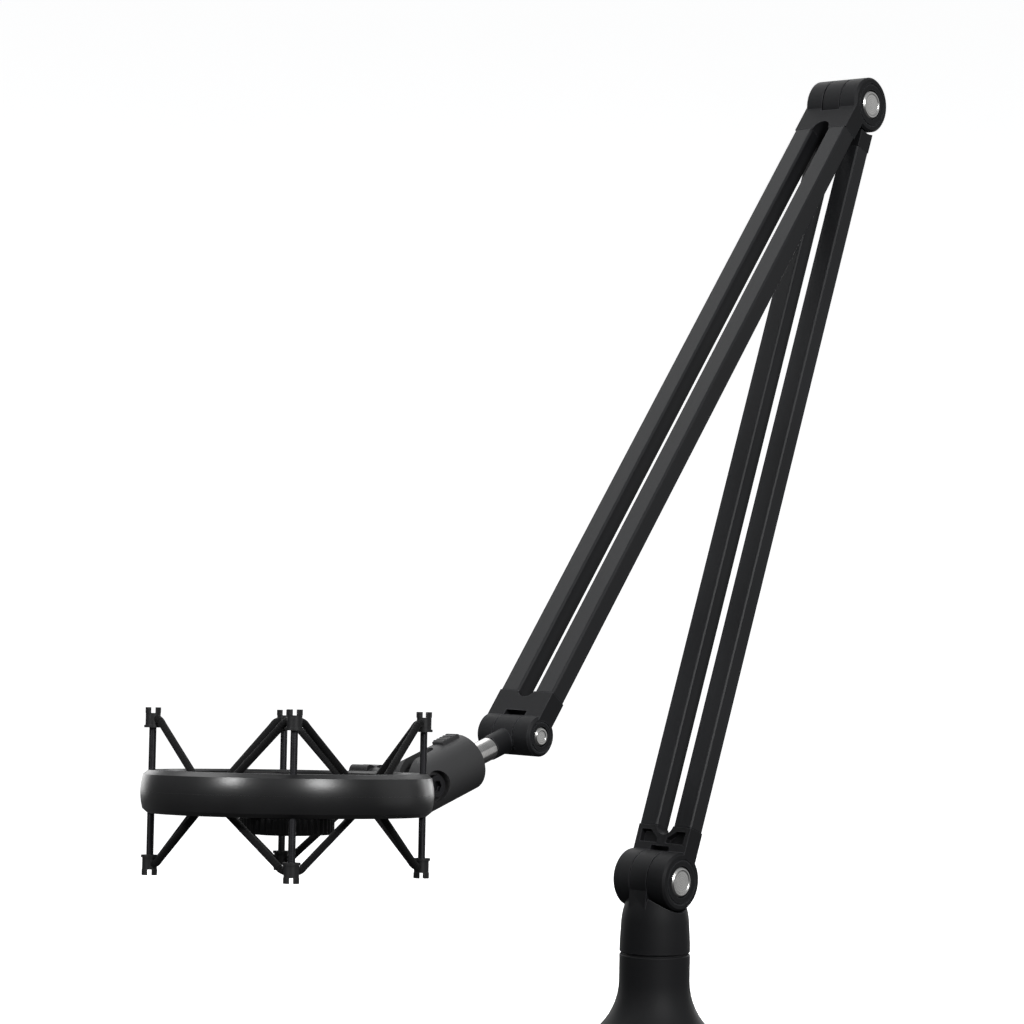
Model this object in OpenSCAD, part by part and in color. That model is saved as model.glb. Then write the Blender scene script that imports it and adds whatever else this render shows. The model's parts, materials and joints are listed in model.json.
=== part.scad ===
// Desk-clamped microphone arm with an elastic shock mount.
// Origin: on the swivel axis, in the plane of the desk top. +Z up,
// +X the way the arm reaches, +Y along the three arm hinges.

/* [Arm] */
// Distance between the base hinge and the elbow hinge
lower_len = 380; // [250:5:450]
// Distance between the elbow hinge and the tip hinge
upper_len = 369; // [250:1:450]
// Lean of the lower arm away from the reach, from vertical
lower_lean = 21; // [15:1:25]
// Lean of the upper arm's tubes from vertical
upper_lean = 38.5; // [36:0.1:45]
// Width of both arms along the hinges
arm_w = 29; // [26:1:34]
// Width of one square tube of an arm
bar_w = 10; // [9:0.5:11]
// Depth of one square tube of an arm
bar_d = 9; // [8.5:0.5:10]
// Wall of the square tubes
bar_wall = 1.3; // [1:0.1:1.5]

/* [Hinges] */
// Radius of the base and elbow hinge barrels
barrel_r = 12.8; // [12:0.2:14]
// Radius of the tip hinge barrel
tip_barrel_r = 8.4; // [8:0.2:9]
// Radius of the polished caps on the large hinges
cap_r = 6.6; // [5:0.2:7]
// Radius of the polished caps on the tip hinge
tip_cap_r = 4; // [3:0.2:4.4]
// Side gap between hinge knuckles
knuckle_gap = 0.4; // [0.3:0.05:0.6]

/* [Base] */
// Radius of the pedestal's foot
foot_r = 38; // [34:1:45]
// Radius of the pedestal's neck
neck_r = 15.6; // [14:0.2:17]
// Height of the swivel seam above the desk top
seam_z = 51; // [48:1:60]
// Height of the base hinge above the swivel seam
hinge_rise = 32.5; // [31:0.5:36]
// Thickness of the desk that the screw is set for
desk_t = 30; // [16:1:44]

/* [Shock mount] */
// Drop of the swivel shaft below horizontal
shaft_drop = 16.9; // [10:0.1:25]
// Turn of the swivel about its shaft
swivel_roll = 2.5; // [-10:0.5:10]
// Tilt of the ring against horizontal, reach side up
ring_tilt = 2.9; // [-10:0.1:15]
// Outer radius of the ring
ring_r = 56.7; // [54:0.1:60]
// Inner radius of the ring
ring_inner_r = 47.6; // [46:0.1:49]
// Height of the ring
ring_h = 16.4; // [14:0.2:20]
// Turn of the rods, cords and cradle round the ring's axis
mount_turn = 3; // [-8:0.5:8]
// Half the height over the post caps, without their prongs
post_half_h = 30; // [26:1:36]
// Radius of the cradle's cord hooks
hook_r = 42; // [40:0.5:43]

/* [Hidden] */
$fn = 64;
e = 0.01;
inch_thread_r = 4.76;

// Clamp
jaw_t = 6;
jaw_pad_t = 1.5;
jaw_top_z = jaw_pad_t + jaw_t;
jaw_half_w = 28;
jaw_front_r = 32;
jaw_back_x = -46;
back_t = 6;
throat_h = 58;
lower_jaw_t = 7;
boss_r = 11;
boss_h = 15;
screw_r = 4.9;
thread_bore_r = 5;
thread_pitch = 2;
plate_r = 18;
plate_t = 4;
pressure_pad_t = 2;
socket_h = 5;
screw_len = 72;
handle_r = 17;
handle_h = 16;
handle_grip = 6;
pad_top_z = -desk_t;
plate_top_z = pad_top_z - pressure_pad_t;
socket_z = plate_top_z - plate_t;
screw_top_z = socket_z + 1;
boss_z = -throat_h - boss_h;
handle_z = screw_top_z - screw_len;
screw_pcd = 46;
screw_angles = [60, 180, 300];
pad_hole_r = 4.6;

// Swivel
foot_edge = 3;
flare_r = 30;
post_r = 6;
bush_r = 9;
washer_t = 0.6;
washer_r = 14.4;
head_z = seam_z + washer_t;
hinge_z = seam_z + hinge_rise;
head_top_r = 13.1;
head_low = head_z - hinge_z;
shoulder_r = 32.8;
shoulder_x = -17.7;
shoulder_drop = 20.8;
shoulder_from = 4.8;
shoulder_to = 29.7;
post_top_z = head_z + 9;
retainer_t = 1.2;

// Hinges
knuckle_w = (arm_w - 2 * knuckle_gap) / 3;
mid_half = knuckle_w / 2;
out_in = mid_half + knuckle_gap;
tip_knuckle_w = 10.6;
tip_mid_half = tip_knuckle_w / 2;
tip_out_in = tip_mid_half + knuckle_gap;
pin_r = 3;
pin_clear = 0.05;
tip_pin_r = 2;
barrel_clear = 0.7;
notch_clear = 2;
elbow_notch_clear = 1.1;
cap_proud = 0.3;
cap_t = 1.5;
groove_w = 0.8;
groove_t = 0.4;
washer_gap = 0.03;

// Arms, in frames with +Z up the arm and +X its front
lower_front = 2.8;
upper_front = 9;
tip_offset = 3;
slot_r = (arm_w - 2 * bar_w) / 2;
base_seam = 24;
base_slot_end = 20;
elbow_seam = 22.5;
elbow_slot_end = 18;
tip_seam = 18.5;
tip_slot_end = 15.5;
spigot_len = 9;
spigot_gap = 0.02;
chamfer = 0.8;
pocket_depth = 3.2;
spring_r = 2.7;
spring_wire_r = 0.55;
spring_bore_r = 1.2;
spring_turns = 36;
spring_step = 3;
elbow_x = -lower_len * sin(lower_lean);
elbow_z = hinge_z + lower_len * cos(lower_lean);
tip_x = elbow_x + upper_len * sin(upper_lean) + tip_offset * cos(upper_lean);
tip_z = elbow_z - upper_len * cos(upper_lean) + tip_offset * sin(upper_lean);

// Tip and swivel, along the shaft
tube_r = 5.1;
tube_end = 17;
shaft_end = 47.5;
body_start = 33;
body_r = 12;
pivot_at = 62;
dome_at = pivot_at - 3.5;
dome_r = 12.4;
slot_start = pivot_at - 12;
slot_w = 5.2;
recess_r = 6.4;
cheek_flat = 10.6;
bolt_r = 2.5;
bolt_head_r = 4.6;
bolt_end = 31;
knob_in = 10.9;
knob_neck_r = 5.2;
knob_neck_end = 19;
knob_grip = 24;
knob_end = 35;
knob_r = 8.8;
knob_cone_r = 6.9;
knob_lobes = 6;
flute = 0.8;
knob_insert_r = 4;
button_len = 10.2;
button_w = 6;
button_start = 35.7;
button_rise = 1.3;
button_depth = 2.8;
button_travel = 1.4;
button_lift = 0.4;
button_rib_h = 0.35;
button_gap = 0.15;
well_z = body_r - button_depth - button_travel;
button_z = body_r - button_depth + button_lift;

// Ring, in a frame at the pivot with +X towards its centre
ring_x = 73.2;
ring_drop = 2.6;
tongue_t = 4.8;
tongue_r = 7.4;
crown = 1.5;
post_circle_r = 52.4;
post_r_rod = 1.4;
post_angles = [45 + mount_turn : 90 : 315 + mount_turn];
cap_h = 5.6;
prong_h = 2.2;
post_cap_r = 2.9;
hub_r = 18.6;
hub_z = -9.2;
hub_t = 3.4;
nut_r = 18.4;
nut_tooth = 0.7;
nut_count = 44;
nut_z = -15.2;
nut_h = 5.6;
stem_r = 11;
thread_r = 7.94;
insert_r = 9.5;
cord_r = 1.5;

// Frames
module at_base_hinge() {
    translate([0, 0, hinge_z]) children();
}

module at_lower() {
    at_base_hinge() rotate([0, -lower_lean, 0]) children();
}

module at_upper() {
    translate([elbow_x, 0, elbow_z]) rotate([0, -upper_lean, 0]) children();
}

module at_lower_elbow() {
    at_lower() translate([0, 0, lower_len]) children();
}

module at_upper_tip() {
    at_upper() translate([tip_offset, 0, -upper_len]) children();
}

module at_tip() {
    translate([tip_x, 0, tip_z]) rotate([0, shaft_drop, 0]) children();
}

module at_swivel() {
    at_tip() rotate([swivel_roll, 0, 0]) children();
}

module at_pivot() {
    at_swivel() translate([pivot_at, 0, 0]) rotate([0, -shaft_drop - ring_tilt, 0]) children();
}

module at_ring() {
    at_pivot() translate([ring_x, 0, -ring_drop]) children();
}

// Building blocks
module along_y(y0, y1, r) {
    translate([0, y0, 0]) rotate([-90, 0, 0]) cylinder(r = r, h = y1 - y0);
}

module along_x(x0, x1, r) {
    translate([x0, 0, 0]) rotate([0, 90, 0]) cylinder(r = r, h = x1 - x0);
}

// Solid of a profile in the XZ plane, drawn out along Y
module wide(y0, y1) {
    translate([0, y1, 0]) rotate([90, 0, 0]) linear_extrude(height = y1 - y0) children();
}

// Knuckle with a bevelled outer end at y1
module end_knuckle(y0, y1, r, bevel) {
    rotate([-90, 0, 0]) rotate_extrude()
        polygon([[0, y0], [r, y0], [r, y1 - bevel], [r - bevel, y1], [0, y1]]);
}

module both_sides() {
    children();
    mirror([0, 1, 0]) children();
}

// Straight round rod from p to q
module rod(p, q, r) {
    d = q - p;
    len = norm(d);
    translate(p) rotate([0, acos(d[2] / len), atan2(d[1], d[0])]) cylinder(r = r, h = len, $fn = 24);
}

// Points of an arc in the plane
function arc(cx, cy, r, a0, a1, n) = [
    for (i = [0 : n]) let (a = a0 + (a1 - a0) * i / n) [cx + r * cos(a), cy + r * sin(a)]
];

// Clamp
module clamp_frame() {
    color("#202224") difference() {
        union() {
            translate([0, 0, jaw_pad_t]) linear_extrude(height = jaw_t) {
                circle(r = jaw_front_r);
                translate([jaw_back_x, -jaw_half_w]) square([-jaw_back_x, 2 * jaw_half_w]);
            }
            translate([jaw_back_x, -jaw_half_w, -throat_h - lower_jaw_t])
                cube([back_t, 2 * jaw_half_w, throat_h + lower_jaw_t + jaw_pad_t + e]);
            translate([0, 0, -throat_h - lower_jaw_t]) linear_extrude(height = lower_jaw_t) {
                circle(r = boss_r + 5);
                translate([jaw_back_x, 0])
                    polygon([[0, -jaw_half_w], [12, -jaw_half_w], [-jaw_back_x, -boss_r - 5],
                             [-jaw_back_x, boss_r + 5], [12, jaw_half_w], [0, jaw_half_w]]);
            }
            translate([0, 0, boss_z]) cylinder(r = boss_r, h = boss_h);
        }
        translate([0, 0, boss_z - 1]) cylinder(r = thread_bore_r, h = boss_h + 2);
        translate([0, 0, jaw_pad_t - 1]) cylinder(r = post_r + 0.1, h = jaw_t + 2);
        for (a = screw_angles) rotate(a) translate([screw_pcd / 2, 0, 0]) {
            translate([0, 0, jaw_pad_t - 1]) cylinder(r = 2.2, h = jaw_t + 2);
            translate([0, 0, jaw_pad_t - e]) cylinder(r = 4.2, h = 3);
        }
    }
}

module jaw_pad() {
    color("#2b2b2b") difference() {
        linear_extrude(height = jaw_pad_t) {
            circle(r = jaw_front_r - 1);
            translate([jaw_back_x + back_t + 0.5, -jaw_half_w + 6])
                square([-jaw_back_x - back_t, 2 * jaw_half_w - 12]);
        }
        for (a = screw_angles) rotate(a) translate([screw_pcd / 2, 0, -1])
            cylinder(r = pad_hole_r, h = jaw_pad_t + 2);
    }
}

module back_pad() {
    color("#2b2b2b") translate([jaw_back_x + back_t, -jaw_half_w + 4, -throat_h + 6])
        cube([jaw_pad_t, 2 * jaw_half_w - 8, throat_h - 16]);
}

module pedestal() {
    flare_z = seam_z - 11.7;
    flare_end = acos(1 - (foot_r - neck_r) / flare_r);
    foot_z = max(flare_z - flare_r * sin(flare_end), jaw_top_z + foot_edge);
    profile = concat(
        [[0, jaw_top_z], [foot_r - 0.8, jaw_top_z], [foot_r, jaw_top_z + 0.8]],
        [[foot_r, foot_z]],
        [for (i = [12 : -1 : 0]) let (a = flare_end * i / 12)
            [neck_r + flare_r * (1 - cos(a)), flare_z - flare_r * sin(a) * (flare_z - foot_z)
                / (flare_r * sin(flare_end))]],
        [[neck_r, seam_z - 0.5], [neck_r - 0.5, seam_z], [0, seam_z]]
    );
    color("#26282b") difference() {
        rotate_extrude() polygon(profile);
        translate([0, 0, jaw_top_z - 1]) cylinder(r = post_r, h = seam_z);
        for (a = screw_angles) rotate(a) translate([screw_pcd / 2, 0, jaw_top_z - 1])
            cylinder(r = 2, h = 4);
    }
}

module pedestal_screws() {
    color("#555555") for (a = screw_angles) rotate(a) translate([screw_pcd / 2, 0, jaw_pad_t]) {
        difference() {
            union() {
                cylinder(r = 4, h = 3 - e);
                cylinder(r = 2, h = jaw_t + 2.6);
            }
            translate([0, 0, -e]) cylinder(r = 1.4, h = 1.8, $fn = 6);
        }
    }
}

module swivel_post() {
    color("#8a8c8e") difference() {
        union() {
            translate([0, 0, jaw_pad_t]) cylinder(r = post_r, h = post_top_z - jaw_pad_t);
            translate([0, 0, post_top_z - e]) cylinder(r = post_r - 1.2, h = retainer_t + 1.6);
        }
        translate([0, 0, jaw_pad_t - e]) cylinder(r = 2.5, h = 10);
    }
}

module post_retainer() {
    color("#4a4a4a") translate([0, 0, post_top_z + 0.05]) difference() {
        cylinder(r = 8.2, h = retainer_t);
        translate([0, 0, -e]) cylinder(r = post_r - 1.2, h = retainer_t + 1);
        translate([4, -1.5, -e]) cube([6, 3, retainer_t + 1]);
    }
}

module swivel_washer() {
    color("#111111") translate([0, 0, seam_z]) difference() {
        cylinder(r = washer_r, h = washer_t - washer_gap);
        translate([0, 0, -e]) cylinder(r = post_r + 0.05, h = washer_t + 1);
    }
}

module pressure_plate() {
    color("#303235") difference() {
        union() {
            translate([0, 0, socket_z]) cylinder(r = plate_r, h = plate_t);
            translate([0, 0, socket_z - socket_h]) cylinder(r = 9, h = socket_h + e);
        }
        translate([0, 0, socket_z - socket_h - 1]) cylinder(r = screw_r + 0.08, h = socket_h + 2.08);
    }
}

module pressure_pad() {
    color("#2b2b2b") translate([0, 0, plate_top_z]) cylinder(r = plate_r - 1, h = pressure_pad_t);
}

module clamp_screw() {
    core_r = screw_r - 0.5;
    plain = 5;
    turns = floor((screw_len - plain - 9) / thread_pitch);
    profile = concat(
        [[0, -handle_grip], [core_r, -handle_grip], [core_r, plain]],
        [for (i = [0 : turns - 1]) for (k = [0 : 2])
            [k == 1 ? screw_r : core_r, plain + thread_pitch * (i + [0.1, 0.5, 0.9][k])]],
        [[core_r, screw_len - 8], [screw_r, screw_len - 8], [screw_r, screw_len - 0.5],
         [screw_r - 0.5, screw_len], [0, screw_len]]
    );
    color("#9a9c9e") translate([0, 0, handle_z]) rotate_extrude($fn = 48) polygon(profile);
}

module clamp_handle() {
    lobes = 6;
    outline = [for (i = [0 : 95]) let (a = i * 360 / 96, r = handle_r - 1.6 + 1.6 * cos(lobes * a))
        [r * cos(a), r * sin(a)]];
    color("#1d1e20") difference() {
        union() {
            translate([0, 0, handle_z - handle_h + 6]) linear_extrude(height = handle_h - 6) polygon(outline);
            translate([0, 0, handle_z - handle_h + 2]) cylinder(r = handle_r - 4.5, h = 4 + e);
            translate([0, 0, handle_z - e]) cylinder(r1 = 12, r2 = 8, h = 4);
        }
        translate([0, 0, handle_z - handle_grip]) cylinder(r = screw_r - 0.5, h = handle_h);
    }
}

// Swivel head with the middle knuckle of the base hinge
module swivel_head() {
    color("#26282b") difference() {
        union() {
            difference() {
                at_base_hinge() rotate_extrude() polygon(concat(
                    [[0, head_low], [neck_r - 0.5, head_low], [neck_r, head_low + 0.5],
                     [neck_r - 0.1, head_low + 5]],
                    arc(shoulder_x, -shoulder_drop, shoulder_r, shoulder_from, shoulder_to, 8),
                    [[0, shoulder_r * sin(shoulder_to) - shoulder_drop]]
                ));
                at_base_hinge() both_sides() along_y(mid_half, arm_w, barrel_r + barrel_clear);
            }
            translate([0, 0, hinge_z]) wide(-mid_half, mid_half) polygon([
                [-head_top_r, -10.5], [-head_top_r, -12], [head_top_r, -12],
                [head_top_r, -10.5], [barrel_r - 0.6, -4], [-barrel_r + 0.6, -4]
            ]);
            at_base_hinge() along_y(-mid_half, mid_half, barrel_r);
        }
        at_base_hinge() along_y(-arm_w, arm_w, pin_r + pin_clear);
        translate([0, 0, head_z - 1]) cylinder(r = bush_r, h = post_top_z - head_z + retainer_t + 4);
    }
}

module post_bush() {
    color("#d8d4c8") translate([0, 0, head_z]) difference() {
        cylinder(r = bush_r, h = post_top_z - head_z - 0.05);
        translate([0, 0, -1]) cylinder(r = post_r + 0.05, h = post_top_z);
    }
}

// Parts of a large hinge barrel
module barrel_end(r, cap, inner) {
    difference() {
        end_knuckle(inner, arm_w / 2, r, 1);
        along_y(arm_w / 2 - cap_t + cap_proud, arm_w, cap + 0.3);
        rotate([-90, 0, 0]) translate([0, 0, arm_w / 2 - groove_t]) difference() {
            cylinder(r = (r + cap) / 2 + groove_w / 2, h = 1);
            translate([0, 0, -1]) cylinder(r = (r + cap) / 2 - groove_w / 2, h = 3);
        }
    }
}

module hinge_pin(r, cap_depth) {
    color("#8a8c8e") along_y(-arm_w / 2 + cap_depth, arm_w / 2 - cap_depth, r);
}

module hinge_caps(cap) {
    y0 = arm_w / 2 - cap_t + cap_proud;
    y1 = arm_w / 2 + cap_proud;
    color("#b9bcc0") both_sides() rotate([-90, 0, 0]) rotate_extrude() polygon([
        [0, y0], [cap, y0], [cap, y1 - 0.7], [cap - 0.7, y1], [cap - 1.4, y1],
        [cap - 1.7, y1 - 0.3], [0, y1 - 0.3]
    ]);
}

module hinge_washers(r, hole, y0) {
    color("#111111") both_sides() difference() {
        along_y(y0 + washer_gap, y0 + knuckle_gap - washer_gap, r);
        along_y(y0 - 1, y0 + knuckle_gap + 1, hole);
    }
}

// Part of an arm's own rectangle between two heights
module arm_block(front, z0, z1) {
    translate([front - bar_d, -arm_w / 2, z0]) cube([bar_d, arm_w, z1 - z0]);
}

// Rounded end of the slot between the two tubes, open upwards
module slot_cut(end_at, open_at) {
    translate([-arm_w, 0, end_at + slot_r]) rotate([90, 0, 90]) linear_extrude(height = 2 * arm_w) {
        circle(r = slot_r);
        translate([-slot_r, 0]) square([2 * slot_r, open_at - end_at]);
    }
}

// Square spigots that the tubes slide onto
module spigots(front, seam) {
    inset = bar_wall + spigot_gap;
    both_sides() translate([front - bar_d + inset, slot_r + inset, seam - e])
        cube([bar_d - 2 * inset, bar_w - 2 * inset, spigot_len]);
}

// End casting with fork knuckles, its hinge at the origin and the tubes above
module fork_casting(front, r, cap, inner, clear, hole, seam, slot_end) {
    difference() {
        union() {
            difference() {
                arm_block(front, 0, seam);
                along_y(-inner, inner, r + clear);
                along_y(-arm_w, arm_w, r - 2);
            }
            both_sides() barrel_end(r, cap, inner);
            spigots(front, seam);
        }
        along_y(-arm_w, arm_w, hole);
        slot_cut(slot_end, seam + spigot_len + 1);
    }
}

// Two pockets beside the slot, in the casting's front
module pockets(front) {
    both_sides() translate([front - pocket_depth, 0, 0]) rotate([90, 0, 90])
        linear_extrude(height = pocket_depth + 1)
            polygon([[2.6, 16.1], [12, 16.1], [12.3, 21.7], [7.2, 21.7], [2.6, 18.2]]);
}

// One square tube with bevelled edges
module square_tube(front, side, z0, z1) {
    w = bar_d / 2;
    h = bar_w / 2;
    c = chamfer;
    translate([front - w, side * (slot_r + h), z0]) linear_extrude(height = z1 - z0) difference() {
        polygon([
            [w, h - c], [w - c, h], [c - w, h], [-w, h - c], [-w, c - h], [c - w, -h], [w - c, -h], [w, c - h]
        ]);
        square([bar_d - 2 * bar_wall, bar_w - 2 * bar_wall], center = true);
    }
}

// Pair of coil springs inside the tubes, as ridged sleeves that start at z0
module springs(front, z0) {
    turns = [for (i = [0 : spring_turns - 1]) for (k = [0, 1])
        [spring_r - spring_wire_r * k, z0 + spring_step * (i + 0.5 * k)]];
    color("#77797b") both_sides() translate([front - bar_d / 2, slot_r + bar_w / 2, 0])
        rotate_extrude($fn = 24) polygon(concat(
            [[spring_bore_r, z0]], turns, [[spring_bore_r, z0 + spring_step * (spring_turns - 0.5)]]
        ));
}

// Pair of tie rods from the far end casting to a stop on top of each spring
module tie_rods(front, spring_z, z1) {
    z0 = spring_z + spring_step * (spring_turns - 0.5);
    color("#8a8c8e") both_sides() translate([front - bar_d / 2, slot_r + bar_w / 2, z0]) {
        cylinder(r = spring_r, h = 2);
        cylinder(r = 1, h = z1 - z0);
    }
}

module base_fork() {
    color("#222427") at_lower() difference() {
        fork_casting(lower_front, barrel_r, cap_r, out_in, notch_clear, pin_r, base_seam, base_slot_end);
        pockets(lower_front);
    }
}

module lower_bar_left() {
    color("#1c1d1f") at_lower() square_tube(lower_front, 1, base_seam, lower_len - elbow_seam);
}

module lower_bar_right() {
    color("#1c1d1f") at_lower() square_tube(lower_front, -1, base_seam, lower_len - elbow_seam);
}

// Upper end of the lower arm: shoulders round the elbow and its middle knuckle
module elbow_tongue() {
    color("#222427") at_lower_elbow() mirror([0, 0, 1]) difference() {
        union() {
            difference() {
                arm_block(lower_front, 0, elbow_seam);
                both_sides() along_y(mid_half, arm_w, barrel_r + 1.3);
            }
            along_y(-mid_half, mid_half, barrel_r);
            spigots(lower_front, elbow_seam);
        }
        along_y(-arm_w, arm_w, pin_r + pin_clear);
        slot_cut(elbow_slot_end, elbow_seam + spigot_len + 1);
    }
}

module base_pin() {
    at_base_hinge() hinge_pin(pin_r, cap_t - cap_proud);
}

module base_caps() {
    at_base_hinge() hinge_caps(cap_r);
}

module base_washers() {
    at_base_hinge() hinge_washers(barrel_r - 1, pin_r + pin_clear, mid_half);
}

module lower_springs() {
    at_lower() springs(lower_front, base_seam + spigot_len);
}

module lower_tie_rods() {
    at_lower() tie_rods(lower_front, base_seam + spigot_len, lower_len - elbow_seam - spigot_len);
}

module elbow_fork() {
    color("#26272a") at_upper() mirror([0, 0, 1]) fork_casting(
        upper_front, barrel_r, cap_r, out_in, elbow_notch_clear, pin_r, elbow_seam, elbow_slot_end
    );
}

module upper_bar_left() {
    color("#1f2022") at_upper() square_tube(upper_front, 1, tip_seam - upper_len, -elbow_seam);
}

module upper_bar_right() {
    color("#1f2022") at_upper() square_tube(upper_front, -1, tip_seam - upper_len, -elbow_seam);
}

module tip_fork() {
    color("#26272a") at_upper_tip() fork_casting(
        upper_front - tip_offset, tip_barrel_r, tip_cap_r, tip_out_in, notch_clear, tip_pin_r,
        tip_seam, tip_slot_end
    );
}

module elbow_pin() {
    at_upper() hinge_pin(pin_r, cap_t - cap_proud);
}

module elbow_caps() {
    at_upper() hinge_caps(cap_r);
}

module elbow_washers() {
    at_upper() hinge_washers(barrel_r - 1, pin_r + pin_clear, mid_half);
}

module upper_springs() {
    at_upper() springs(upper_front, tip_seam + spigot_len - upper_len);
}

module upper_tie_rods() {
    at_upper() tie_rods(upper_front, tip_seam + spigot_len - upper_len, -elbow_seam - spigot_len);
}

module tip_pin() {
    at_upper_tip() hinge_pin(tip_pin_r, cap_t - cap_proud);
}

module tip_caps() {
    at_upper_tip() hinge_caps(tip_cap_r);
}

module tip_washers() {
    at_upper_tip() hinge_washers(tip_barrel_r - 0.8, tip_pin_r + pin_clear, tip_mid_half);
}

// Middle knuckle of the tip hinge with the tube that holds the shaft
module tip_knuckle() {
    color("#26272a") at_tip() difference() {
        union() {
            along_y(-tip_mid_half, tip_mid_half, tip_barrel_r);
            along_x(0, tube_end, tube_r);
        }
        along_y(-arm_w, arm_w, tip_pin_r + pin_clear);
        along_x(tip_pin_r + 2, tube_end + 1, inch_thread_r);
    }
}

module swivel_shaft() {
    color("#b4b7ba") at_tip() difference() {
        along_x(tip_pin_r + 2, shaft_end, inch_thread_r);
        translate([shaft_end - 4, 0, 0]) rotate([0, 90, 0]) difference() {
            cylinder(r = inch_thread_r + 1, h = 1.4);
            translate([0, 0, -1]) cylinder(r = inch_thread_r - 0.9, h = 4);
        }
    }
}

// Spring clip in the shaft's groove
module shaft_clip() {
    color("#4a4a4a") at_tip() translate([shaft_end - 3.9, 0, 0]) rotate([0, 90, 0]) difference() {
        cylinder(r = 7, h = 1.2);
        translate([0, 0, -1]) cylinder(r = inch_thread_r - 0.9, h = 4);
        translate([3, -1.4, -1]) cube([8, 2.8, 4]);
    }
}

// Swivel barrel: bore for the shaft at one end, fork for the ring at the other
module swivel_body() {
    color("#3a3b3e") at_swivel() difference() {
        union() {
            translate([body_start, 0, 0]) rotate([0, 90, 0]) rotate_extrude() polygon([
                [0, 0], [body_r - chamfer, 0], [body_r, chamfer],
                [body_r, dome_at - body_start], [0, dome_at - body_start]
            ]);
            intersection() {
                along_x(dome_at - e, dome_at + 2 * body_r, body_r);
                translate([dome_at, 0, 0]) along_y(-body_r, body_r, dome_r);
            }
        }
        along_x(body_start - 1, shaft_end - 6, inch_thread_r + pin_clear);
        along_x(shaft_end - 6, slot_start + 1, 7.4);
        translate([pivot_at, 0, 0]) {
            translate([slot_start + slot_w / 2 - pivot_at, 0, -body_r - 1])
                linear_extrude(height = 2 * body_r + 2) {
                    circle(r = slot_w / 2);
                    translate([0, -slot_w / 2]) square([body_r * 2, slot_w]);
                }
            along_y(-body_r - 1, body_r + 1, bolt_r + 0.02);
            along_y(cheek_flat - 2.4, body_r + 1, recess_r);
            along_y(-body_r - 1, -cheek_flat, recess_r + 1.4);
        }
        translate([button_start - button_gap, -button_w / 2 - button_gap, well_z])
            cube([button_len + 2 * button_gap, button_w + 2 * button_gap, body_r]);
    }
}

// Pivot bolt with a hexagon recess, its thread on the far side
module pivot_bolt() {
    color("#2c2d2f") at_pivot() difference() {
        union() {
            along_y(-bolt_end, cheek_flat - 2.4 + e, bolt_r - 0.03);
            along_y(cheek_flat - 2.4, cheek_flat + 0.2, bolt_head_r);
        }
        rotate([-90, 0, 0]) translate([0, 0, cheek_flat - 1.4]) cylinder(r = 2.3, h = 4, $fn = 6);
    }
}

// Ribbed push button that lets the swivel turn
module release_button() {
    ribs = 5;
    block_h = button_depth - button_lift + button_rise - button_rib_h;
    color("#303134") at_swivel() translate([button_start, -button_w / 2, button_z]) {
        cube([button_len, button_w, block_h]);
        for (i = [0 : ribs - 1])
            translate([0.8 + i * (button_len - 2.6) / (ribs - 1), 0, block_h - e])
                cube([1, button_w, button_rib_h + e]);
    }
}

module button_spring() {
    color("#8a8c8e") at_swivel()
        translate([button_start + button_len / 2, 0, well_z + 0.02]) difference() {
            cylinder(r = 1.9, h = button_travel + button_lift - 0.04);
            translate([0, 0, -1]) cylinder(r = 1.3, h = button_travel + 3);
        }
}

// Knob that clamps the ring's tilt
module tilt_knob() {
    cap_end = knob_end - 1;
    outline = [for (i = [0 : 71]) let (a = i * 5, r = knob_r - flute + flute * cos(knob_lobes * a))
        [r * cos(a), r * sin(a)]];
    color("#1d1e20") at_pivot() rotate([90, 0, 0]) difference() {
        union() {
            translate([0, 0, knob_in]) cylinder(r = knob_neck_r, h = knob_neck_end - knob_in + e);
            translate([0, 0, knob_neck_end])
                cylinder(r1 = knob_neck_r + 0.4, r2 = knob_cone_r, h = knob_grip - knob_neck_end + e);
            translate([0, 0, knob_grip]) linear_extrude(height = cap_end - knob_grip) polygon(outline);
            translate([0, 0, cap_end - e]) cylinder(r1 = knob_cone_r, r2 = knob_cone_r - 1, h = 1);
        }
        translate([0, 0, knob_in - 1]) cylinder(r = knob_insert_r, h = bolt_end - knob_in + 1.5);
    }
}

module knob_insert() {
    color("#b08d4a") at_pivot() difference() {
        along_y(-bolt_end, -knob_in - 0.1, knob_insert_r - 0.01);
        along_y(-bolt_end - 1, 0, bolt_r + 0.02);
    }
}

// Ring with crowned outside, tongue for the fork and bosses for the rods
module mount_ring() {
    h = ring_h / 2;
    bulge_r = (crown * crown + h * h) / (2 * crown);
    bulge_a = asin((h - 1.6) / bulge_r);
    color("#2a2b2d") at_ring() difference() {
        union() {
            rotate_extrude($fn = 128) polygon(concat(
                [[ring_inner_r, -h + 0.8], [ring_inner_r + 0.8, -h]],
                [[ring_r - crown - 1.4, -h]],
                arc(ring_r - bulge_r, 0, bulge_r, -bulge_a, bulge_a, 12),
                [[ring_r - crown - 1.4, h], [ring_inner_r + 0.8, h], [ring_inner_r, h - 0.8]]
            ));
            intersection() {
                translate([-ring_x, 0, ring_drop]) union() {
                    along_y(-tongue_t / 2, tongue_t / 2, tongue_r);
                    translate([0, -tongue_t / 2, -tongue_r])
                        cube([ring_x - ring_r + 4, tongue_t, tongue_r + 5]);
                }
                translate([-ring_x - tongue_r, -tongue_t, -h + 1.2])
                    cube([ring_x - ring_r + tongue_r + 5, 2 * tongue_t, ring_h]);
            }
            for (a = post_angles) rotate(a) translate([post_circle_r - 4.4, 0, -h + 1])
                cylinder(r = 3, h = ring_h - 2, $fn = 32);
        }
        translate([-ring_x, 0, ring_drop]) along_y(-tongue_t, tongue_t, bolt_r + 0.05);
        for (a = post_angles) rotate(a) translate([post_circle_r, 0, -h - 1])
            cylinder(r = post_r_rod, h = ring_h + 2);
    }
}

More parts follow.
